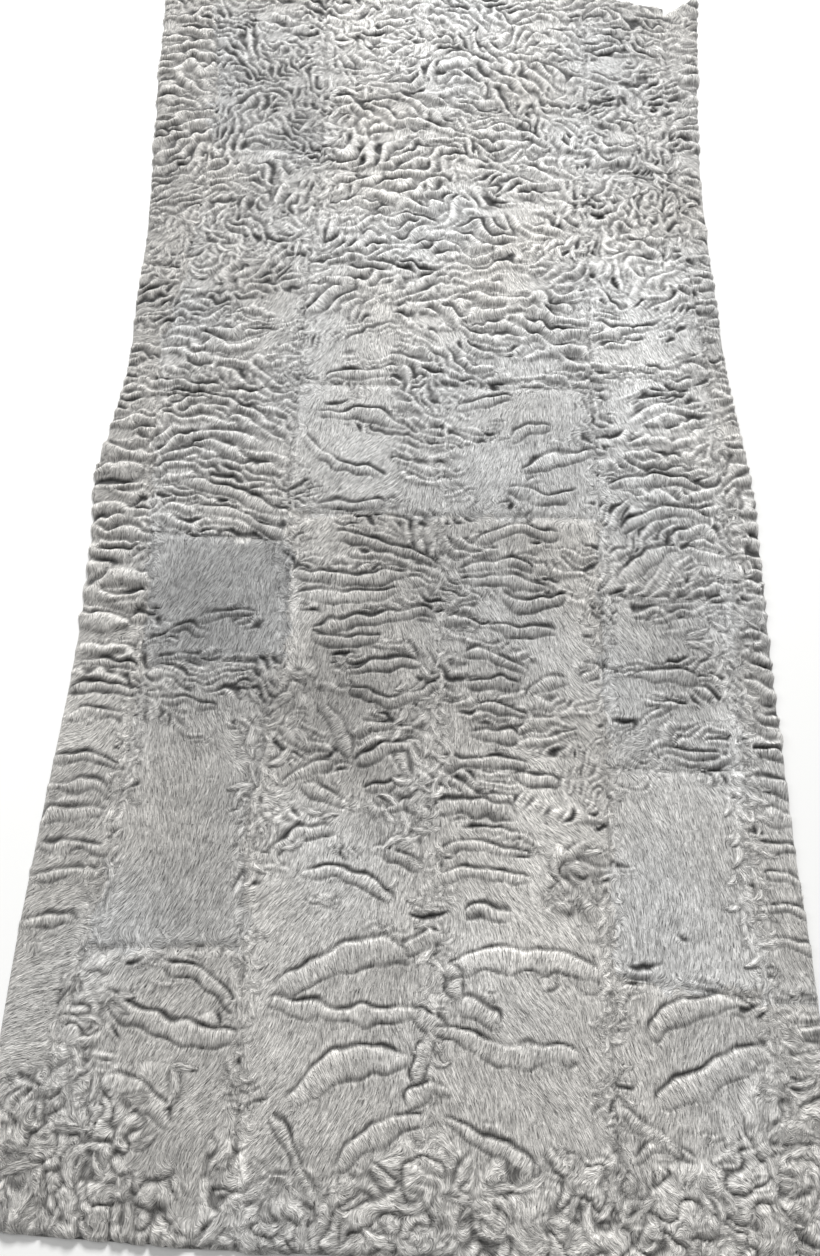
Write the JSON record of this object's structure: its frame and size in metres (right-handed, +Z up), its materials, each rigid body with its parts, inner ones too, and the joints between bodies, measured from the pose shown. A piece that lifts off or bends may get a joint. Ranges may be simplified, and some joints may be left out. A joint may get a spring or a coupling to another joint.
{
  "type": "lambskin fur plate",
  "caption": "Flat fur plate of curly light grey lambskin, skins sewn edge to edge with the fur side up, for a rug, throw or garment",
  "frame": {"origin": "middle of the plate's outline, on the leather underside, which lies on the floor", "axes": "+Y along the plate from its near end to its far end, +X across it to the right, +Z up out of the fur"},
  "size_m": [0.6232, 1.2748, 0.0083],
  "materials": {
    "light_grey_lamb_fur": "short glossy pile lying flat, raised in curls",
    "grey_lamb_fur": "short glossy pile lying flat, raised in curls"
  },
  "bodies": {
    "root": {"skin_left_strip_1": "grey_lamb_fur", "skin_left_strip_2": "grey_lamb_fur", "skin_left_strip_3": "light_grey_lamb_fur", "skin_left_1": "light_grey_lamb_fur", "skin_left_2": "light_grey_lamb_fur", "skin_left_3": "grey_lamb_fur", "skin_left_4": "light_grey_lamb_fur", "skin_left_5": "light_grey_lamb_fur", "skin_left_6": "grey_lamb_fur", "skin_centre_1": "light_grey_lamb_fur", "skin_centre_2": "light_grey_lamb_fur", "skin_centre_3": "light_grey_lamb_fur", "skin_right_1": "light_grey_lamb_fur", "skin_right_2": "light_grey_lamb_fur", "skin_right_3": "light_grey_lamb_fur", "skin_right_4": "light_grey_lamb_fur", "skin_right_5": "light_grey_lamb_fur", "skin_right_strip_1": "light_grey_lamb_fur", "skin_right_strip_2": "light_grey_lamb_fur", "skin_right_strip_3": "light_grey_lamb_fur"}
  },
  "joints": []
}
